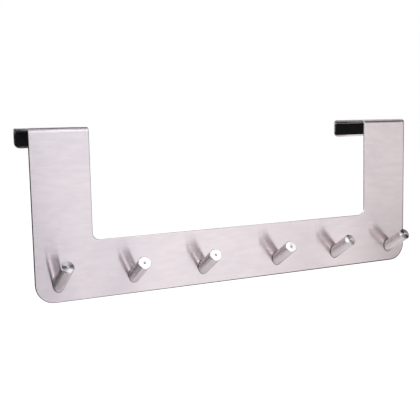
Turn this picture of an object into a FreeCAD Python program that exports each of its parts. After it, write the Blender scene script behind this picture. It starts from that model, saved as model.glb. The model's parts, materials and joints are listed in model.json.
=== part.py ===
import FreeCAD, Part
import math
import os

# Over door hook: one stainless steel sheet is cut to a wide U and folded over twice at the top of
# each arm, so that two hooks hang on the top edge of a door. Six round pegs slant up from its bar,
# and a foam pad inside each hook keeps the steel off the door.
# X runs along the bar, from left to right as seen from the front. Y runs towards the door, and
# Z is up. The origin is the middle of the bar's rear face, which lies against the door.

# Sheet
rack_width = 380.0
rack_height = 142.0
sheet_thickness = 1.5
bar_height = 49.0
arm_width = 50.0
bottom_corner_radius = 16.0
notch_corner_radius = 6.0
edge_round = 0.55
rear_edge_chamfer = 0.2
largest_edge_share = 0.4

# Door hooks
door_gap = 47.0
bend_inner_radius = 2.0
lip_height = 17.0
lip_corner_radius = 5.0

# Pegs
peg_diameter = 11.0
peg_length = 28.5
peg_tilt = 31.0
peg_row_height = 15.3
end_peg_inset = 19.5
peg_pitch = 66.0
pegs_per_side = 3
end_chamfer = 0.5
dimple_diameter = 2.6
dimple_depth = 0.6
# The peg at the left end was welded on a little steeper than the others, and turned inwards.
left_peg_tilt = 38.5
left_peg_turn = 4.0

# Tenon that each peg is welded by, from behind
tenon_diameter = 6.0
tenon_clearance = 0.05

# Foam pads
pad_thickness = 2.0
pad_side_margin = 0.8
pad_bottom_margin = 1.7
pad_bend_clearance = 0.1
pad_corner_radius = 2.5

# Places that follow from the sizes above
half_width = rack_width / 2
arm_inner_x = half_width - arm_width
front_y = -sheet_thickness
lip_front_y = door_gap
lip_rear_y = door_gap + sheet_thickness
bottom_z = -bar_height / 2
bar_top_z = bottom_z + bar_height
top_z = bottom_z + rack_height
seat_z = top_z - sheet_thickness
lip_bottom_z = top_z - lip_height
bend_outer_radius = bend_inner_radius + sheet_thickness
peg_row_z = bottom_z + peg_row_height
cut_past = 2.0


def unit(vector):
    return vector * (1 / vector.Length)


def rounded_face(corners, radii):
    """A flat face whose straight sides are joined by an arc at each corner that has a radius."""
    edges = []
    count = len(corners)
    trims = []
    for i, (corner, radius) in enumerate(zip(corners, radii)):
        back = unit(corners[i - 1] - corner)
        ahead = unit(corners[(i + 1) % count] - corner)
        if radius == 0:
            trims.append((corner, corner, corner))
            continue
        half_angle = back.getAngle(ahead) / 2
        reach = radius / math.tan(half_angle)
        middle_out = unit(back + ahead)
        arc_middle = corner + middle_out * (radius / math.sin(half_angle) - radius)
        trims.append((corner + back * reach, arc_middle, corner + ahead * reach))
    for i, (start, middle, end) in enumerate(trims):
        if not start.isEqual(end, 1e-7):
            edges.append(Part.Arc(start, middle, end).toShape())
        following = trims[(i + 1) % count][0]
        if not end.isEqual(following, 1e-7):
            edges.append(Part.LineSegment(end, following).toShape())
    return Part.Face(Part.Wire(edges))


def xz(points, y):
    return [FreeCAD.Vector(x, y, z) for x, z in points]


def yz(points, x):
    return [FreeCAD.Vector(x, y, z) for y, z in points]


def middle_of(edge):
    return edge.valueAt((edge.FirstParameter + edge.LastParameter) / 2)


def sharp_edges(shape):
    """The edges where two faces meet at an angle, without those where a bend runs on smoothly."""
    found = []
    for edge in shape.Edges:
        faces = shape.ancestorsOfType(edge, Part.Face)
        if len(faces) < 2:
            continue
        normals = [face.normalAt(*face.Surface.parameter(middle_of(edge))) for face in faces[:2]]
        if abs(normals[0].dot(normals[1])) < 0.9:
            found.append(edge)
    return found


def folded_strip():
    """The side view of the folded sheet, drawn out over the whole width of the rack."""
    outer, inner = bend_outer_radius, bend_inner_radius
    corners = [
        (front_y, bottom_z), (front_y, top_z), (lip_rear_y, top_z), (lip_rear_y, lip_bottom_z),
        (lip_front_y, lip_bottom_z), (lip_front_y, seat_z), (0, seat_z), (0, bottom_z),
    ]
    side_view = rounded_face(yz(corners, -half_width), [0, outer, outer, 0, 0, inner, inner, 0])
    return side_view.extrude(FreeCAD.Vector(rack_width, 0, 0))


def front_outline():
    """The wide U of the cut sheet as seen from the front, deep enough to pass through the hooks."""
    above = top_z + cut_past
    corners = [
        (-half_width, bottom_z), (half_width, bottom_z), (half_width, above), (arm_inner_x, above),
        (arm_inner_x, bar_top_z), (-arm_inner_x, bar_top_z), (-arm_inner_x, above), (-half_width, above),
    ]
    foot, notch = bottom_corner_radius, notch_corner_radius
    face = rounded_face(xz(corners, front_y - cut_past), [foot, foot, 0, 0, notch, notch, 0, 0])
    depth = lip_rear_y - front_y + 2 * cut_past
    return face.extrude(FreeCAD.Vector(0, depth, 0))


def round_lip_corners(sheet):
    corners = [
        edge for edge in sheet.Edges
        if abs(edge.BoundBox.ZMax - lip_bottom_z) < 1e-6
        and edge.BoundBox.XLength < 1e-6
        and abs(edge.BoundBox.YLength - sheet_thickness) < 1e-6
    ]
    return sheet.makeFillet(lip_corner_radius, corners)


def soften_edges(sheet):
    """Rounds the edges that show, and breaks those on the door's side with a small chamfer."""
    half = sheet_thickness / 2
    outside = []
    for edge in sharp_edges(sheet):
        middle = middle_of(edge)
        if not (-half < middle.y < lip_front_y + half and middle.z < seat_z + half):
            outside.append(edge)
    largest = sheet_thickness * largest_edge_share
    sheet = sheet.makeFillet(min(edge_round, largest), outside)
    return sheet.makeChamfer(min(rear_edge_chamfer, largest), sharp_edges(sheet))


def tenon(x, radius, past=0.0):
    """A round bar through the sheet at a peg's place, reaching past both faces by a length."""
    start = FreeCAD.Vector(x, front_y - past, peg_row_z)
    return Part.makeCylinder(radius, sheet_thickness + 2 * past, start, FreeCAD.Vector(0, 1, 0))


def make_plate(peg_places):
    sheet = soften_edges(round_lip_corners(folded_strip().common(front_outline()).removeSplitter()))
    hole_radius = tenon_diameter / 2 + tenon_clearance
    holes = [tenon(x, hole_radius, cut_past) for x in peg_places]
    return sheet.cut(holes)


def make_peg(x, tilt, turn):
    """A turned round bar, slanted up from the sheet, with its foot cut flat to lie on it."""
    radius = peg_diameter / 2
    behind = radius * math.tan(math.radians(tilt)) + radius
    profile = [
        (0, -behind), (radius, -behind), (radius, peg_length - end_chamfer),
        (radius - end_chamfer, peg_length), (dimple_diameter / 2, peg_length),
        (0, peg_length - dimple_depth),
    ]
    points = [FreeCAD.Vector(r, 0, along) for r, along in profile]
    section = Part.Face(Part.makePolygon(points + points[:1]))
    bar = section.revolve(FreeCAD.Vector(0, 0, 0), FreeCAD.Vector(0, 0, 1), 360)
    bar.rotate(FreeCAD.Vector(0, 0, 0), FreeCAD.Vector(1, 0, 0), 90 - tilt)
    bar.rotate(FreeCAD.Vector(0, 0, 0), FreeCAD.Vector(0, 0, 1), turn)
    bar.translate(FreeCAD.Vector(x, front_y, peg_row_z))
    reach = 2 * (peg_length + behind)
    corner = FreeCAD.Vector(x - reach / 2, front_y, peg_row_z - reach / 2)
    behind_sheet_front = Part.makeBox(reach, reach, reach, corner)
    return bar.cut(behind_sheet_front).fuse(tenon(x, tenon_diameter / 2)).removeSplitter()


def make_pad(arm_middle_x):
    """A piece of foam on the side of a lip that faces the door."""
    reach = arm_width / 2 - pad_side_margin
    low = lip_bottom_z + pad_bottom_margin
    high = top_z - bend_outer_radius - pad_bend_clearance
    left, right = arm_middle_x - reach, arm_middle_x + reach
    corners = xz([(left, low), (right, low), (right, high), (left, high)], lip_front_y)
    face = rounded_face(corners, [pad_corner_radius] * 4)
    return face.extrude(FreeCAD.Vector(0, -pad_thickness, 0))


def peg_centres():
    right_side = [half_width - end_peg_inset - i * peg_pitch for i in range(pegs_per_side)]
    return sorted([-x for x in right_side] + right_side)


def main():
    places = peg_centres()
    nodes = {"door_plate": make_plate(places)}
    for number, x in enumerate(places, start=1):
        tilt, turn = (left_peg_tilt, left_peg_turn) if number == 1 else (peg_tilt, 0.0)
        nodes["peg_%d" % number] = make_peg(x, tilt, turn)
    arm_middle_x = half_width - arm_width / 2
    nodes["lip_pad_left"] = make_pad(-arm_middle_x)
    nodes["lip_pad_right"] = make_pad(arm_middle_x)

    os.makedirs("parts", exist_ok=True)
    for name, shape in nodes.items():
        shape.exportStep("parts/%s.step" % name)
        print(name, "solids", len(shape.Solids), "valid", shape.isValid(), "mm3", round(shape.Volume, 1))


main()
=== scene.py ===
# %% [markdown]
# # An over door hook rack in brushed stainless steel
#
# The real rack is one sheet of stainless steel, cut to a wide U and folded over twice at the top of
# each arm, with six round pegs welded to its bar and a foam pad inside each hook. Its solids come
# ready made, in metres, so this lesson gives them their finishes, models the soft pads, and sets
# up a small studio, because bright metal looks like nothing until it has a room to mirror.

# %% Load the solids
import json
import math

import bmesh
import bpy
from mathutils import Matrix, Vector, noise


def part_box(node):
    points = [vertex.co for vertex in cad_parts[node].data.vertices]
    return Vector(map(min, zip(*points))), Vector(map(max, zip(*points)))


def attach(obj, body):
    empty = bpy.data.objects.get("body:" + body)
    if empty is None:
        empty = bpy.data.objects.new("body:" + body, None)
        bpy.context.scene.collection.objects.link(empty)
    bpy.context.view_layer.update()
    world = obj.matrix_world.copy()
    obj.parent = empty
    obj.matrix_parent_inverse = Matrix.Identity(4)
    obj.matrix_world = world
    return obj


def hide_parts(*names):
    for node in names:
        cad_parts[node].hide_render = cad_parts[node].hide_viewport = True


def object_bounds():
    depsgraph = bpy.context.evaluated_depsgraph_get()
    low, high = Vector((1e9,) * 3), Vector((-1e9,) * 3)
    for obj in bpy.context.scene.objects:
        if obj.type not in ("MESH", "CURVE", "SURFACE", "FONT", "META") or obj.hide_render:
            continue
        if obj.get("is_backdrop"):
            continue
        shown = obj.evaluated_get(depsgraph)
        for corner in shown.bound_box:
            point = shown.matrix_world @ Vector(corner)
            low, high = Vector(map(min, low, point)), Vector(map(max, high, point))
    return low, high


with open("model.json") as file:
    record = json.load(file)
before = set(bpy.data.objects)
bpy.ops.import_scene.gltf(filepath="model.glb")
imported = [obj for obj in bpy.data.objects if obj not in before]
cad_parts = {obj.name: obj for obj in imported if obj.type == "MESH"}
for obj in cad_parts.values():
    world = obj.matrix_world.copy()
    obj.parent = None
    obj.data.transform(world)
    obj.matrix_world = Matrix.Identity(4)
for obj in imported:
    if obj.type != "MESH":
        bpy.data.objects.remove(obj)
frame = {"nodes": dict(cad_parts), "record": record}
solid_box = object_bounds()
print("nodes:", sorted(frame["nodes"]))
print("size in mm:", [round((high - low) * 1000, 1) for low, high in zip(*solid_box)])

# %% [markdown]
# ## Units, colours and nodes
#
# Sizes below are written in millimetres and multiplied by `MM`. Colours are written as they look on
# a screen, in hex, and one function turns them to the linear values that a renderer adds up. One
# more function adds a shader node with its settings and links, so a material reads as a list of
# what it is made of. A Mix node's sockets share their names, so they are given by number: 0 is how
# much of the second is taken, 2 and 3 are two numbers, and 6 and 7 are two colours.

# %% Units, colours and nodes
MM = 0.001


def colour(hex_code, alpha=1.0):
    """An sRGB hex colour as linear red, green and blue."""
    values = [int(hex_code[i:i + 2], 16) / 255 for i in (1, 3, 5)]
    linear = [v / 12.92 if v <= 0.04045 else ((v + 0.055) / 1.055) ** 2.4 for v in values]
    return (*linear, alpha)


def add(tree, kind, inputs=None, **settings):
    """Adds a node. An input is either another node's socket, which is linked, or a value."""
    made = tree.nodes.new(kind)
    for name, value in settings.items():
        setattr(made, name, value)
    for name, value in (inputs or {}).items():
        if isinstance(value, bpy.types.NodeSocket):
            tree.links.new(value, made.inputs[name])
        else:
            made.inputs[name].default_value = value
    return made


def new_material(name):
    """A material with an empty node tree, and the tree."""
    material = bpy.data.materials.new(name)
    material.use_nodes = True
    material.node_tree.nodes.clear()
    return material, material.node_tree


print("mid grey is", [round(v, 3) for v in colour("#808080")[:3]])

# %% [markdown]
# ## The camera
#
# The rack is seen from its left and a little from above. A lens of 66 mm on a 36 mm sensor, less
# than a metre away, gives the strong taper of the bar: its near end looks over a quarter taller than
# its far end. The camera is turned about Z first, then tipped down, and last rolled about its own
# axis.

# %% The camera
camera_place = Vector((-339.5, -609.5, 122.9)) * MM
camera_turn = math.radians(-26.90)
camera_tip_down = math.radians(6.81)
camera_roll = math.radians(-1.24)
camera_lens = 66.25
sensor_width = 36.0
nearest_seen = 10 * MM

camera = bpy.data.objects.new("camera", bpy.data.cameras.new("camera"))
bpy.context.scene.collection.objects.link(camera)
camera.data.lens = camera_lens
camera.data.sensor_width = sensor_width
camera.data.clip_start = nearest_seen
camera.matrix_world = (
    Matrix.Translation(camera_place)
    @ Matrix.Rotation(camera_turn, 4, "Z")
    @ Matrix.Rotation(math.radians(90) - camera_tip_down, 4, "X")
    @ Matrix.Rotation(camera_roll, 4, "Z")
)
bpy.context.scene.camera = camera
print("camera to origin: %.0f mm" % (camera_place.length / MM))

# %% [markdown]
# ## The studio
#
# A metal part is lit by what stands around it. The room is white, so the steel is bright. It is a
# plain white to the camera and to reflections, and a little dimmer where it only lights the part, so
# that a colour comes out about as it is written.

# %% The white room
scene = bpy.context.scene
scene.view_settings.view_transform = "Standard"
world = bpy.data.worlds.new("white room")
scene.world = world
world.use_nodes = True
room = world.node_tree
room.nodes.clear()
room_light = 0.62

ray = add(room, "ShaderNodeLightPath")
seen = add(room, "ShaderNodeMath", {0: ray.outputs["Is Camera Ray"], 1: ray.outputs["Is Glossy Ray"]},
           operation="MAXIMUM")
seen = add(room, "ShaderNodeMath", {0: seen.outputs[0], 1: ray.outputs["Is Transmission Ray"]},
           operation="MAXIMUM")
dim = add(room, "ShaderNodeBackground", {"Color": colour("#ffffff"), "Strength": room_light})
white = add(room, "ShaderNodeBackground", {"Color": colour("#ffffff"), "Strength": 1.0})
either = add(room, "ShaderNodeMixShader", {0: seen.outputs[0], 1: dim.outputs[0], 2: white.outputs[0]})
add(room, "ShaderNodeOutputWorld", {"Surface": either.outputs[0]})
print("room light:", room_light)

# %% [markdown]
# The floor is a wide pale sheet below the rack, which hangs in the air as it would on a door. To
# the camera it is as white as the room. It still takes the soft shadow of the rack, because only
# its own brightness is lifted.

# %% The floor
floor_drop = 260 * MM
floor_size = 12.0
floor_lift = 0.46

bpy.ops.mesh.primitive_plane_add(size=floor_size, location=(0, 0, solid_box[0].z - floor_drop))
floor = bpy.context.object
floor.name = "floor"
floor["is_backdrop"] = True
paint, tree = new_material("pale floor")
ray = add(tree, "ShaderNodeLightPath")
seen = add(tree, "ShaderNodeMath", {0: ray.outputs["Is Camera Ray"], 1: ray.outputs["Is Glossy Ray"]},
           operation="MAXIMUM")
matt = add(tree, "ShaderNodeBsdfDiffuse", {"Color": colour("#f4f4f4")})
lift = add(tree, "ShaderNodeEmission", {"Color": colour("#ffffff"), "Strength": floor_lift})
lifted = add(tree, "ShaderNodeAddShader", {0: matt.outputs[0], 1: lift.outputs[0]})
either = add(tree, "ShaderNodeMixShader", {0: seen.outputs[0], 1: matt.outputs[0], 2: lifted.outputs[0]})
add(tree, "ShaderNodeOutputMaterial", {"Surface": either.outputs[0]})
floor.data.materials.append(paint)
print("floor at z = %.0f mm" % (floor.location.z / MM))

# %% [markdown]
# A place in the studio is easiest to give as a photographer would: how far round, how high and how
# far away. Straight ahead of the rack is 0 degrees round, and its right is positive.
#
# Three lamps face the rack: the key lamp high at the front right, a warmer one high at the left, and
# a weak one low in front, for the folds. A lamp's power is worked out from its size, so that its
# brightness is that of each part of it, however large it is.

# %% The lamps
middle = (solid_box[0] + solid_box[1]) / 2
lamp_distance = 4.0


def way_out(round_to, height):
    """The direction at two angles in degrees: round from straight ahead, and up from level."""
    a, e = math.radians(round_to), math.radians(height)
    return Vector((math.sin(a) * math.cos(e), -math.cos(a) * math.cos(e), math.sin(e)))


def soft_lamp(name, round_to, height, size, brightness, tint="#ffffff"):
    """A rectangular lamp that faces the middle of the rack."""
    lamp = bpy.data.lights.new(name, "AREA")
    lamp.shape = "RECTANGLE"
    lamp.size, lamp.size_y = size
    lamp.energy = brightness * math.pi * size[0] * size[1]
    lamp.color = colour(tint)[:3]
    placed = bpy.data.objects.new(name, lamp)
    scene.collection.objects.link(placed)
    out = way_out(round_to, height)
    turn = out.to_track_quat("Z", "Y").to_matrix().to_4x4()
    placed.matrix_world = Matrix.Translation(middle + out * lamp_distance) @ turn


soft_lamp("key lamp", 30.4, 44.5, (1.62, 1.2), 1.6)
soft_lamp("warm left lamp", -52, 38, (1.1, 2.1), 3.5, "#fffaf0")
soft_lamp("fold lamp", 18.5, 17.5, (1.0, 1.1), 0.7)

# %% [markdown]
# Cards stand where a photographer would put them: near black, grey and pale ones, to the left and
# right, below and behind. They give the sheet its slow changes of tone and the pegs their darker
# flanks, and keep the pale steel from fading into the pale background. They only show in
# reflections, so they throw no shadow and are never in the picture.
#
# A card is a piece of a sphere, given by how far round and how high it reaches. One that would pass
# through the floor is drawn in to lie just above it.

# %% Cards
card_distance = 4.6
card_steps = 12
above_floor = 2 * MM
nearly_level = 0.01


def curved_panel(name, round_to, heights, centre, distance):
    """A mesh about a centre, between two angles round and two heights, all in degrees."""
    row = card_steps + 1
    corners, faces = [], []
    for i in range(row):
        for j in range(row):
            out = way_out(round_to[0] + (round_to[1] - round_to[0]) * i / card_steps,
                          heights[0] + (heights[1] - heights[0]) * j / card_steps)
            to_floor = (centre.z - floor.location.z - above_floor) / max(-out.z, nearly_level)
            corners.append(centre + out * min(distance, to_floor))
            if i < card_steps and j < card_steps:
                k = i * row + j
                faces.append((k, k + 1, k + row + 1, k + row))
    panel = bpy.data.meshes.new(name)
    panel.from_pydata(corners, [], faces)
    return panel


def mirrored_card(name, round_to, heights, shade, centre=middle, distance=card_distance):
    """A curved card of one shade that only reflections see."""
    card = bpy.data.objects.new(name, curved_panel(name, round_to, heights, centre, distance))
    scene.collection.objects.link(card)
    card.visible_camera = False
    card.visible_diffuse = False
    card.visible_shadow = False
    card.visible_transmission = False
    finish, tree = new_material(name)
    glow = add(tree, "ShaderNodeEmission", {"Color": colour(shade), "Strength": 1.0})
    add(tree, "ShaderNodeOutputMaterial", {"Surface": glow.outputs[0]})
    card.data.materials.append(finish)
    card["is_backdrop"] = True


mirrored_card("card right", (46.5, 63), (-8, 31), "#cac4c9")
mirrored_card("card far right", (63, 105), (-16, 80), "#c0babf")
mirrored_card("card right low", (44.2, 63), (-22, -11), "#1b181b")
mirrored_card("card right soft", (38, 46.5), (11.5, 31), "#beb8bb")
mirrored_card("card right under", (39, 46), (-45, -22), "#7a7578")
mirrored_card("card left under", (2, 14.5), (-48, -20), "#e2dcdf")
mirrored_card("card below right", (46, 100), (-66, -16), "#d8d2d5")
mirrored_card("card left front", (-38, 7.5), (-20, 3), "#787277")
mirrored_card("card left back", (-155, -75), (-14, 12), "#6a656c")
mirrored_card("card low behind left", (-140, -100), (-44, -14), "#1c191c")
mirrored_card("card under behind", (120, 245), (-80, -42), "#eae4e7")
mirrored_card("card behind", (125, 200), (25, 72), "#353137")
mirrored_card("card behind left", (188, 205), (-14, 25), "#1c191c")
mirrored_card("card behind low", (155, 188), (-30, -1.5), "#2c282e")

# %% [markdown]
# Far cards look the same to every peg, yet the first, fifth and sixth look different from the
# others on the real rack. So some smaller cards stand close to those three. From so near, a card
# covers its stretch of the room for one peg, and for its neighbours it stands somewhere else.

# %% Cards close to three pegs
at_the_foot = 0.1
at_hand = 0.2
at_arms_length = 0.5
pegs = {m["name"]: m for m in frame["record"]["mounts"] if m["name"].startswith("coat_peg_")}
left_peg, fifth_peg, right_peg = (Vector(pegs["coat_peg_%d" % i]["pos_m"]) for i in (1, 5, 6))

mirrored_card("near card left", (-42, 4), (-28, 5), "#1c191c", left_peg, at_hand)
mirrored_card("near card below left", (-80, -42), (-64, 5), "#1c191c", left_peg, at_hand)
mirrored_card("near card below", (130, 235), (-80, -50), "#8f8587", left_peg, at_the_foot)
mirrored_card("near card high left", (-30, 35), (59, 70), "#2a2640", left_peg, at_arms_length)
mirrored_card("near card high", (30, 58), (55.5, 62.5), "#2a2640", left_peg, at_arms_length)
mirrored_card("near card high right", (56, 82), (38, 57), "#2a2640", left_peg, at_arms_length)
mirrored_card("near card fifth peg", (47.4, 58), (29, 66), "#1c1a22", fifth_peg, at_arms_length)
mirrored_card("near card right", (46.5, 59), (20, 64), "#1c191c", right_peg, at_arms_length)
mirrored_card("near card far right", (59, 95), (4, 80), "#9a949a", right_peg, at_arms_length)

# %% [markdown]
# ## Brushed stainless sheet
#
# The sheet is 1.5 mm stainless steel with a brushed finish: an abrasive belt has drawn fine parallel
# scratches along the bar, a little askew. Scratches spread a reflection across them and hardly along
# them, so the steel shows the pegs as soft streaks. That is anisotropy, and its tangent is the way
# that the reflection spreads: square to both the surface and the scratches.
#
# The real scratches are about 0.1 mm apart, too fine for a picture in which 1 mm is about one pixel,
# so they are drawn coarser. A grain of 0.4 mm shows close up, and one of 3 mm by 9 mm shows at the
# camera's distance. Towards the far end, where the picture is smaller, a still broader grain of
# 3.8 mm by 14 mm takes its place.

# %% Grain of the sheet
fine_scratch = 0.4 * MM
fine_length = 80 * MM
coarse_scratch = 3.0 * MM
coarse_length = 9 * MM
broad_scratch = 3.8 * MM
broad_length = 14 * MM
coarse_share = 0.8


def streaks(tree, place, length, width, detail):
    """Noise that is drawn out along the bar."""
    drawn_out = add(tree, "ShaderNodeVectorMath", {0: place, 1: (1 / length, 1 / width, 1 / width)},
                    operation="MULTIPLY")
    noisy = add(tree, "ShaderNodeTexNoise", {
        "Vector": drawn_out.outputs[0], "Scale": 1.0, "Detail": detail})
    return noisy.outputs["Fac"]


def sheet_grain(tree, place, x):
    """All three grains in one value, about 0.5 on average. The broad one grows towards the right."""
    fine = streaks(tree, place, fine_length, fine_scratch, 2.0)
    coarse = streaks(tree, place, coarse_length, coarse_scratch, 1.0)
    broad = add(tree, "ShaderNodeMapRange", {
        "Value": streaks(tree, place, broad_length, broad_scratch, 1.0),
        "From Min": 0.3, "From Max": 0.7, "To Min": 0.15, "To Max": 0.85})
    rightness = add(tree, "ShaderNodeMapRange", {
        "Value": x, "From Min": solid_box[0].x, "From Max": solid_box[1].x})
    coarse = add(tree, "ShaderNodeMix", {
        0: rightness.outputs[0], 2: coarse, 3: broad.outputs[0]}, data_type="FLOAT")
    grain = add(tree, "ShaderNodeMix", {0: coarse_share, 2: fine, 3: coarse.outputs[0]}, data_type="FLOAT")
    return grain.outputs[0]


print("scratches: fine %.1f mm, coarse %.1f mm" % (fine_scratch / MM, coarse_scratch / MM))

# %% [markdown]
# The steel isn't one colour. It drifts in soft patches of about 45 mm, from a cooler grey at the
# near end to a warmer one at the far end, and each scratch is a touch lighter or darker. The patches
# are partly the steel's own tone and partly painted sheen and shade: the warm grey is also lighter,
# the cool one darker.

# %% Colour of the brushed face
# A lighter warm grey and a darker cool grey: the steel's tone, with painted sheen and painted shade.
warm_sheen_steel = "#e5dadc"
cool_shaded_steel = "#d5ced4"
patch_size = 45 * MM
grain_low = 0.35
grain_high = 0.65


def brushed_colour(tree, place, x, grain):
    """The colour of the brushed face at a place, with its grain and its patches of painted sheen and shade.
    """
    patches = add(tree, "ShaderNodeTexNoise", {"Vector": place, "Scale": 1 / patch_size, "Detail": 1.0})
    leftness = add(tree, "ShaderNodeMapRange", {
        "Value": x, "From Min": solid_box[1].x, "From Max": solid_box[0].x,
        "To Min": -0.5, "To Max": 0.5})
    cooler = add(tree, "ShaderNodeMath", {0: patches.outputs["Fac"], 1: leftness.outputs[0]}, operation="ADD")
    face = add(tree, "ShaderNodeMix", {
        0: cooler.outputs[0], 6: colour(warm_sheen_steel), 7: colour(cool_shaded_steel)}, data_type="RGBA")
    lighter = add(tree, "ShaderNodeMapRange", {
        "Value": grain, "From Min": grain_low, "From Max": grain_high, "To Min": 0.965, "To Max": 1.03})
    brushed = add(tree, "ShaderNodeVectorMath", {0: face.outputs[2], 1: lighter.outputs[0]},
                  operation="MULTIPLY")
    return brushed.outputs[0]


print("steel, cool to warm:", cool_shaded_steel, warm_sheen_steel)

# %% [markdown]
# The cut edges are left by a laser and rounded off by tumbling, and they are given painted light. They
# are told apart by the way they face: no brushed face of the folded sheet looks sideways, and below the
# folds none looks down. The edges that look right or down get painted shade, a dull dark colour. Those
# that look left, towards the camera, get a painted highlight, the pale colour of bare steel.
#
# A dark line of painted shade also runs round the front, just inside the sheet's outer edge, where
# the rounding turns away. It is 0.5 mm wide at the near end and 1.1 mm at the far end, wider than the
# real rounded edge would show, because a thinner line fades at this distance.

# %% Edges of the sheet
outline_corner = 16 * MM
# Width of the painted line of shade round the front.
edge_line = 0.8 * MM
edge_line_change = 0.3 * MM
fold_height = solid_box[1].z - 4 * MM
before_rear_face = -0.1 * MM


def painted_highlight_edges(tree, facing):
    """1 on the edges that look left, which get a painted highlight."""
    leftward = add(tree, "ShaderNodeMath", {0: facing["X"], 1: -1.0}, operation="MULTIPLY")
    return add(tree, "ShaderNodeMapRange", {
        "Value": leftward.outputs[0], "From Min": 0.1, "From Max": 0.3}).outputs[0]


def painted_shade_edges(tree, where, facing):
    """1 on the edges that look right, and on those that look down below the folds, which get painted shade.
    """
    below_fold = add(tree, "ShaderNodeMath", {0: where["Z"], 1: fold_height}, operation="LESS_THAN")
    downward = add(tree, "ShaderNodeMath", {0: facing["Z"], 1: -1.0}, operation="MULTIPLY")
    downward = add(tree, "ShaderNodeMath", {0: downward.outputs[0], 1: below_fold.outputs[0]},
                   operation="MULTIPLY")
    shaded_edge = add(tree, "ShaderNodeMath", {0: facing["X"], 1: downward.outputs[0]}, operation="MAXIMUM")
    return add(tree, "ShaderNodeMapRange", {
        "Value": shaded_edge.outputs[0], "From Min": 0.08, "From Max": 0.2}).outputs[0]


def edge_inset(tree, where):
    """How far inside the U's sides, foot and rounded lower corners a place is."""
    beyond = add(tree, "ShaderNodeMath", {0: where["X"]}, operation="ABSOLUTE")
    beyond = add(tree, "ShaderNodeMath", {0: beyond.outputs[0], 1: solid_box[1].x - outline_corner},
                 operation="SUBTRACT")
    beyond = add(tree, "ShaderNodeMath", {0: beyond.outputs[0], 1: 0.0}, operation="MAXIMUM")
    below = add(tree, "ShaderNodeMath", {0: solid_box[0].z + outline_corner, 1: where["Z"]},
                operation="SUBTRACT")
    below = add(tree, "ShaderNodeMath", {0: below.outputs[0], 1: 0.0}, operation="MAXIMUM")
    reach = add(tree, "ShaderNodeCombineXYZ", {"X": beyond.outputs[0], "Y": below.outputs[0]})
    reach = add(tree, "ShaderNodeVectorMath", {0: reach.outputs[0]}, operation="LENGTH")
    inset = add(tree, "ShaderNodeMath", {0: outline_corner, 1: reach.outputs["Value"]}, operation="SUBTRACT")
    return inset.outputs[0]


def outer_shade_line(tree, where):
    """1 on the dark line of painted shade round the front, which is wider towards the right."""
    wide = add(tree, "ShaderNodeMapRange", {
        "Value": where["X"], "From Min": solid_box[0].x, "From Max": solid_box[1].x,
        "To Min": edge_line - edge_line_change, "To Max": edge_line + edge_line_change})
    outer = add(tree, "ShaderNodeMath", {0: edge_inset(tree, where), 1: wide.outputs[0]},
                operation="LESS_THAN")
    in_front = add(tree, "ShaderNodeMath", {0: where["Y"], 1: before_rear_face}, operation="LESS_THAN")
    return add(tree, "ShaderNodeMath", {0: outer.outputs[0], 1: in_front.outputs[0]},
               operation="MULTIPLY").outputs[0]


print("outer line: %.1f to %.1f mm wide" % (
    (edge_line - edge_line_change) / MM, (edge_line + edge_line_change) / MM))

# %% [markdown]
# The side of the sheet that faces the door isn't brushed. It keeps the smoother finish that it got
# in the rolling mill, and so do the insides of the hooks. Brushed steel has a roughness of about
# 0.2, and the mill's finish and the bare cuts are a little sharper mirrors.

# %% Brushed stainless sheet
# A pale colour painted as a highlight on the edges that look left, and a dark one painted as shade on the
# edges that look right or down and on the line round the front.
edge_highlight = "#f2eef1"
edge_shade = "#3a3639"
cut_roughness = 0.18
mill_roughness = 0.16
scratch_run = (1.0, 0.02, 0.03)
sheet_thickness = 1.5 * MM
mill_top = solid_box[1].z - sheet_thickness / 2
mill_middle = (solid_box[1].y - sheet_thickness) / 2
mill_reach = mill_middle + sheet_thickness / 2


def mill_side(tree, where):
    """1 on the side of the sheet that faces the door, in the hooks too."""
    depth = add(tree, "ShaderNodeMath", {0: where["Y"], 1: mill_middle}, operation="SUBTRACT")
    depth = add(tree, "ShaderNodeMath", {0: depth.outputs[0]}, operation="ABSOLUTE")
    within = add(tree, "ShaderNodeMath", {0: depth.outputs[0], 1: mill_reach}, operation="LESS_THAN")
    under = add(tree, "ShaderNodeMath", {0: where["Z"], 1: mill_top}, operation="LESS_THAN")
    return add(tree, "ShaderNodeMath", {0: within.outputs[0], 1: under.outputs[0]},
               operation="MULTIPLY").outputs[0]


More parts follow.
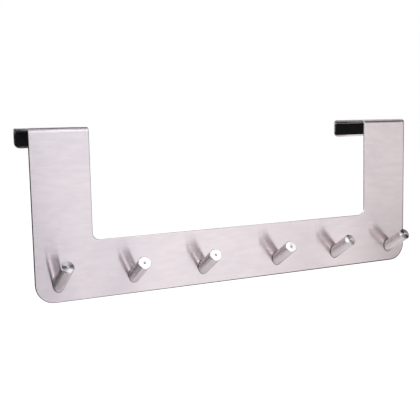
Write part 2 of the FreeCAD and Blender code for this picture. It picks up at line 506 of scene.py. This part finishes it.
def brushed_sheet():
    material, tree = new_material("brushed stainless sheet")
    place = add(tree, "ShaderNodeTexCoord").outputs["Object"]
    normal = add(tree, "ShaderNodeNewGeometry").outputs["Normal"]
    where = add(tree, "ShaderNodeSeparateXYZ", {0: place}).outputs
    facing = add(tree, "ShaderNodeSeparateXYZ", {0: normal}).outputs
    grain = sheet_grain(tree, place, where["X"])
    brushed = brushed_colour(tree, place, where["X"], grain)
    highlit_edge = painted_highlight_edges(tree, facing)
    # Where painted shade goes: the edges that look right or down, and the line round the front.
    shaded_edge = add(tree, "ShaderNodeMath", {0: painted_shade_edges(tree, where, facing), 1: outer_shade_line(tree, where)},
               operation="MAXIMUM")

    # Painted highlight on the edges that look left, then painted shade on the others.
    base = add(tree, "ShaderNodeMix", {0: highlit_edge, 6: brushed, 7: colour(edge_highlight)}, data_type="RGBA")
    base = add(tree, "ShaderNodeMix", {
        0: shaded_edge.outputs[0], 6: base.outputs[2], 7: colour(edge_shade)}, data_type="RGBA")
    rough = add(tree, "ShaderNodeMapRange", {
        "Value": grain, "From Min": grain_low, "From Max": grain_high, "To Min": 0.195, "To Max": 0.205})
    rough = add(tree, "ShaderNodeMix", {0: highlit_edge, 2: rough.outputs[0], 3: cut_roughness}, data_type="FLOAT")
    rough = add(tree, "ShaderNodeMix", {
        0: mill_side(tree, where), 2: rough.outputs[0], 3: mill_roughness}, data_type="FLOAT")

    spread = add(tree, "ShaderNodeVectorMath", {0: normal, 1: scratch_run}, operation="CROSS_PRODUCT")
    relief = add(tree, "ShaderNodeBump", {"Height": grain, "Strength": 0.05, "Distance": 0.01 * MM})
    steel = add(tree, "ShaderNodeBsdfPrincipled", {
        "Base Color": base.outputs[2], "Metallic": 1.0, "Roughness": rough.outputs[0],
        "Anisotropic": 1.0, "Tangent": spread.outputs[0], "Normal": relief.outputs[0]})
    add(tree, "ShaderNodeOutputMaterial", {"Surface": steel.outputs[0]})
    return material


def dress(node, material):
    """Gives a ready made solid one material, in place of the plain one that it came with."""
    solid = frame["nodes"][node]
    for place in solid.material_slots:
        place.material = material


sheet_finish = brushed_sheet()
dress("door_plate", sheet_finish)
print(sheet_finish.name, "has", len(sheet_finish.node_tree.nodes), "nodes")

# %% [markdown]
# ## Turned stainless bar
#
# The pegs are cut from round bar on a lathe. The tool leaves fine rings round the side and on the
# flat end, so both spread a reflection across the rings: along the peg on its side, and outwards
# from the middle on its end. On the end that gives the two bright and two dark wedges that turned
# metal is known by. Both follow from one rule: the tangent is the surface's normal crossed with the
# way the rings run, which is the peg's axis crossed with the way out from that axis.
#
# Real rings are about 0.1 mm apart. They are drawn 0.35 mm apart, because finer ones don't show. The
# tool also leaves the end a little domed, so its normals lean outwards near the rim.

# %% Marks of the lathe
ring_pitch = 0.35 * MM
rim_lean = 0.05
peg_radius = pegs["coat_peg_1"]["dims"]["r_mm"] * MM


def tool_marks(tree, offset, axis, out):
    """Noise in rings round the axis. It changes only outwards and along the peg."""
    along = add(tree, "ShaderNodeVectorMath", {0: offset, 1: axis}, operation="DOT_PRODUCT")
    step = add(tree, "ShaderNodeCombineXYZ", {"X": out, "Y": along.outputs["Value"]})
    marks = add(tree, "ShaderNodeTexNoise", {
        "Vector": step.outputs[0], "Scale": 1 / ring_pitch, "Detail": 2.0})
    return marks.outputs["Fac"]


def domed_normal(tree, normal, rings, axis, faced):
    """The surface's normal, which leans outwards on the turned end."""
    outward = add(tree, "ShaderNodeVectorMath", {0: rings, 1: axis}, operation="CROSS_PRODUCT")
    lean = add(tree, "ShaderNodeMath", {0: faced, 1: rim_lean / peg_radius}, operation="MULTIPLY")
    outward = add(tree, "ShaderNodeVectorMath", {0: outward.outputs[0], "Scale": lean.outputs[0]},
                  operation="SCALE")
    domed = add(tree, "ShaderNodeVectorMath", {0: normal, 1: outward.outputs[0]}, operation="ADD")
    return add(tree, "ShaderNodeVectorMath", {0: domed.outputs[0]}, operation="NORMALIZE").outputs[0]


print("the end leans %.1f degrees at its rim" % math.degrees(math.atan(rim_lean)))

# %% [markdown]
# The end gets a painted highlight, a paler colour than the side, and painted shade in the middle, a
# greyer colour where the drill's centre mark is hollow. At its foot a peg, welded from behind, meets
# the sheet in a fine joint, which is darkened with painted contact shade. The dark line is drawn
# 1.1 mm wide in the colour of the bar. That is wider than the real one, which would fade at this
# distance.

# %% Colour of the bar
side_steel = "#d2cbce"
# The end's paler colour is a painted highlight.
lit_end_steel = "#dfdbdd"
# Painted shade for the hollow of the drill's centre mark.
drill_mark_shade = "#c6c1c7"
# Painted contact shade for the joint at a peg's foot.
joint_shade = "#332d30"
drill_mark = 2.1 * MM
joint_line = 1.1 * MM
joint_core = 0.3 * joint_line


def foot_shade(tree, place):
    """1 where a peg's foot meets the sheet, for its painted contact shade, fading to 0 at the width of the
    joint line.
    """
    depth = add(tree, "ShaderNodeSeparateXYZ", {0: place}).outputs["Y"]
    joint = add(tree, "ShaderNodeMapRange", {
        "Value": depth, "From Min": -sheet_thickness - joint_line, "From Max": -sheet_thickness - joint_core})
    in_front = add(tree, "ShaderNodeMath", {0: depth, 1: -sheet_thickness / 2}, operation="LESS_THAN")
    return add(tree, "ShaderNodeMath", {0: joint.outputs[0], 1: in_front.outputs[0]},
               operation="MULTIPLY").outputs[0]


def bar_colour(tree, place, out, faced, marks):
    """The colours of the side, the end with its painted highlight, the drill's mark and the joint with their
    painted shade, and the tool's rings.
    """
    # Painted shade in the hollow of the centre mark.
    drill_shade = add(tree, "ShaderNodeMapRange", {
        "Value": out, "From Min": drill_mark, "From Max": 0.55 * drill_mark})
    # Painted highlight: the end is paler than the side.
    steel = add(tree, "ShaderNodeMix", {0: faced, 6: colour(side_steel), 7: colour(lit_end_steel)},
                data_type="RGBA")
    steel = add(tree, "ShaderNodeMix", {
        0: drill_shade.outputs[0], 6: steel.outputs[2], 7: colour(drill_mark_shade)}, data_type="RGBA")
    # Painted contact shade at the foot, where the peg meets the sheet.
    steel = add(tree, "ShaderNodeMix", {
        0: foot_shade(tree, place), 6: steel.outputs[2], 7: colour(joint_shade)}, data_type="RGBA")
    lighter = add(tree, "ShaderNodeMapRange", {
        "Value": marks, "From Min": 0.3, "From Max": 0.7, "To Min": 0.9, "To Max": 1.05})
    return add(tree, "ShaderNodeVectorMath", {0: steel.outputs[2], 1: lighter.outputs[0]},
               operation="MULTIPLY").outputs[0]


print("drill mark %.1f mm, joint %.1f mm" % (drill_mark / MM, joint_line / MM))

# %% [markdown]
# The rings run round the peg's own axis, so each peg gets a material of its own, made from the place
# and the axis that the frame gives for it. The turned side has a roughness of about 0.23, and the
# end is cut a little finer.

# %% Turned stainless bar
end_roughness = 0.18


def turned_bar(name, centre, axis):
    material, tree = new_material(name)
    place = add(tree, "ShaderNodeTexCoord").outputs["Object"]
    normal = add(tree, "ShaderNodeNewGeometry").outputs["Normal"]
    offset = add(tree, "ShaderNodeVectorMath", {0: place, 1: centre}, operation="SUBTRACT").outputs[0]
    rings = add(tree, "ShaderNodeVectorMath", {0: axis, 1: offset}, operation="CROSS_PRODUCT").outputs[0]
    out = add(tree, "ShaderNodeVectorMath", {0: rings}, operation="LENGTH").outputs["Value"]
    marks = tool_marks(tree, offset, axis, out)
    squareness = add(tree, "ShaderNodeVectorMath", {0: normal, 1: axis}, operation="DOT_PRODUCT")
    faced = add(tree, "ShaderNodeMapRange", {
        "Value": squareness.outputs["Value"], "From Min": 0.6, "From Max": 0.8}).outputs[0]

    rough = add(tree, "ShaderNodeMapRange", {
        "Value": marks, "From Min": 0.3, "From Max": 0.7, "To Min": 0.22, "To Max": 0.25})
    rough = add(tree, "ShaderNodeMix", {0: faced, 2: rough.outputs[0], 3: end_roughness}, data_type="FLOAT")
    spread = add(tree, "ShaderNodeVectorMath", {0: normal, 1: rings}, operation="CROSS_PRODUCT")
    steel = add(tree, "ShaderNodeBsdfPrincipled", {
        "Base Color": bar_colour(tree, place, out, faced, marks), "Metallic": 1.0,
        "Roughness": rough.outputs[0], "Anisotropic": 1.0, "Tangent": spread.outputs[0],
        "Normal": domed_normal(tree, normal, rings, axis, faced)})
    add(tree, "ShaderNodeOutputMaterial", {"Surface": steel.outputs[0]})
    return material


for name, mount in sorted(pegs.items()):
    axis = Vector(mount["axis"])
    node = name.replace("coat_", "")
    dress(node, turned_bar("turned bar " + node[-1], tuple(mount["pos_m"]), tuple(axis)))
    print(node, "tilt %.1f degrees" % math.degrees(math.asin(axis.z)))

# %% [markdown]
# ## The foam pads
#
# A strip of black closed-cell foam is stuck inside each hook, so that the steel doesn't scratch the
# door. Foam is soft, so a plain solid would look wrong: its edge is drawn in where the die cut it,
# its face is slightly crowned and has a skin of small cells. Here each pad is a grid of points over
# the rounded outline, pushed out by a dome and a fine noise, with walls down to the glue. The cells
# are drawn 0.9 mm wide, about three times their real size, because finer ones don't show.

# %% The surface of a pad
pad_crown = 0.12 * MM
pad_edge_drop = 0.45 * MM
pad_edge_width = 1.2 * MM
pad_corner = 2.5 * MM
pad_cell = 0.9 * MM
pad_cell_height = 0.05 * MM


def rounded(x, z, half_x, half_z, corner):
    """How far inside the rounded outline a point is, in metres. It is negative outside."""
    over_x, over_z = abs(x) - (half_x - corner), abs(z) - (half_z - corner)
    outside = math.hypot(max(over_x, 0), max(over_z, 0))
    return corner - outside - min(max(over_x, over_z), 0)


def pad_height(x, z, half_x, half_z, inside, seed):
    """How far the skin stands below the pad's full thickness, as a negative height."""
    near_edge = max(0.0, 1 - inside / pad_edge_width)
    dome = pad_crown * (1 - (x / half_x) ** 2) * (1 - (z / half_z) ** 2)
    cells = pad_cell_height * noise.noise(Vector((x, z, seed)) / pad_cell)
    return dome + cells - pad_crown - pad_edge_drop * near_edge ** 2


print("the edge of a pad is drawn in by %.2f mm" % (pad_edge_drop / MM))

# %% [markdown]
# The grid's points that fall outside the rounded corners are pulled in to lie on them, so the mesh
# stays a plain grid. The wall is one ring of faces that joins the rims of the skin and the back.

# %% A pad as a mesh
pad_step = 0.5 * MM
same_point = 0.001 * MM


def pad_grid(shape, centre, half, across, tall, glue_y, thick):
    """The points of the skin and of the flat back, each by its place in the grid."""
    front, back = {}, {}
    for i in range(across + 1):
        for j in range(tall + 1):
            x, z = (2 * i / across - 1) * half.x, (2 * j / tall - 1) * half.z
            inside = rounded(x, z, half.x, half.z, pad_corner)
            if inside < 0:
                corner_x = math.copysign(half.x - pad_corner, x)
                corner_z = math.copysign(half.z - pad_corner, z)
                pull = pad_corner / math.hypot(x - corner_x, z - corner_z)
                x, z = corner_x + (x - corner_x) * pull, corner_z + (z - corner_z) * pull
                inside = 0.0
            out = thick + pad_height(x, z, half.x, half.z, inside, centre.x)
            front[i, j] = shape.verts.new((centre.x + x, glue_y - out, centre.z + z))
            back[i, j] = shape.verts.new((centre.x + x, glue_y, centre.z + z))
    return front, back


def foam_pad(name, node):
    low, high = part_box(node)
    centre, half = (low + high) / 2, (high - low) / 2
    across, tall = round(2 * half.x / pad_step), round(2 * half.z / pad_step)
    shape = bmesh.new()
    front, back = pad_grid(shape, centre, half, across, tall, high.y, high.y - low.y)
    for i in range(across):
        for j in range(tall):
            ring = [(i, j), (i + 1, j), (i + 1, j + 1), (i, j + 1)]
            shape.faces.new([front[k] for k in ring])
            shape.faces.new([back[k] for k in reversed(ring)])
    rim = [(i, 0) for i in range(across)] + [(across, j) for j in range(tall)]
    rim += [(i, tall) for i in range(across, 0, -1)] + [(0, j) for j in range(tall, 0, -1)]
    for a, b in zip(rim, rim[1:] + rim[:1]):
        shape.faces.new([front[b], front[a], back[a], back[b]])
    bmesh.ops.dissolve_degenerate(shape, edges=shape.edges[:], dist=same_point)
    bmesh.ops.recalc_face_normals(shape, faces=shape.faces[:])
    mesh = bpy.data.meshes.new(name)
    shape.to_mesh(mesh)
    shape.free()
    for polygon in mesh.polygons:
        polygon.use_smooth = True
    pad = bpy.data.objects.new(name, mesh)
    scene.collection.objects.link(pad)
    return pad


print("a pad's grid has a step of %.1f mm" % (pad_step / MM))

# %% [markdown]
# Closed-cell foam is matt and nearly black, with a dull sheen where its skin is unbroken. The cells
# are dark dots with a slightly lighter wall between them.

# %% Black foam
foam_dark = "#0d0c0f"
foam_light = "#17161a"
skin_patch = 6 * MM
skin_share = 0.5


def black_foam():
    material, tree = new_material("black foam")
    place = add(tree, "ShaderNodeTexCoord").outputs["Object"]
    cells = add(tree, "ShaderNodeTexVoronoi", {"Vector": place, "Scale": 1 / pad_cell})
    skin = add(tree, "ShaderNodeTexNoise", {"Vector": place, "Scale": 1 / skin_patch, "Detail": 3.0})
    mottle = add(tree, "ShaderNodeMix", {
        0: skin_share, 2: cells.outputs["Distance"], 3: skin.outputs["Fac"]}, data_type="FLOAT")
    base = add(tree, "ShaderNodeMix", {
        0: mottle.outputs[0], 6: colour(foam_dark), 7: colour(foam_light)}, data_type="RGBA")
    relief = add(tree, "ShaderNodeBump", {
        "Height": cells.outputs["Distance"], "Strength": 0.4, "Distance": 0.08 * MM})
    foam = add(tree, "ShaderNodeBsdfPrincipled", {
        "Base Color": base.outputs[2], "Roughness": 0.85, "Specular IOR Level": 0.2,
        "Normal": relief.outputs[0]})
    add(tree, "ShaderNodeOutputMaterial", {"Surface": foam.outputs[0]})
    return material


foam = black_foam()
for side in ("left", "right"):
    node = "lip_pad_" + side
    pad = foam_pad("foam_pad_" + side, node)
    pad.data.materials.append(foam)
    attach(pad, "root")
    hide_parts(node)
    print(pad.name, "points", len(pad.data.vertices))

# %% [markdown]
# ## Last checks
#
# The finished model must fill the same box as the solids that it was built on. The two boxes are
# compared, and how far each corner has moved is printed in millimetres.

# %% Sizes and the last line
finished_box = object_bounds()
grown = [(after - before) / MM for before, after in zip(solid_box, finished_box)]
print("low corner moved by mm:", [round(v, 3) for v in grown[0]])
print("high corner moved by mm:", [round(v, 3) for v in grown[1]])
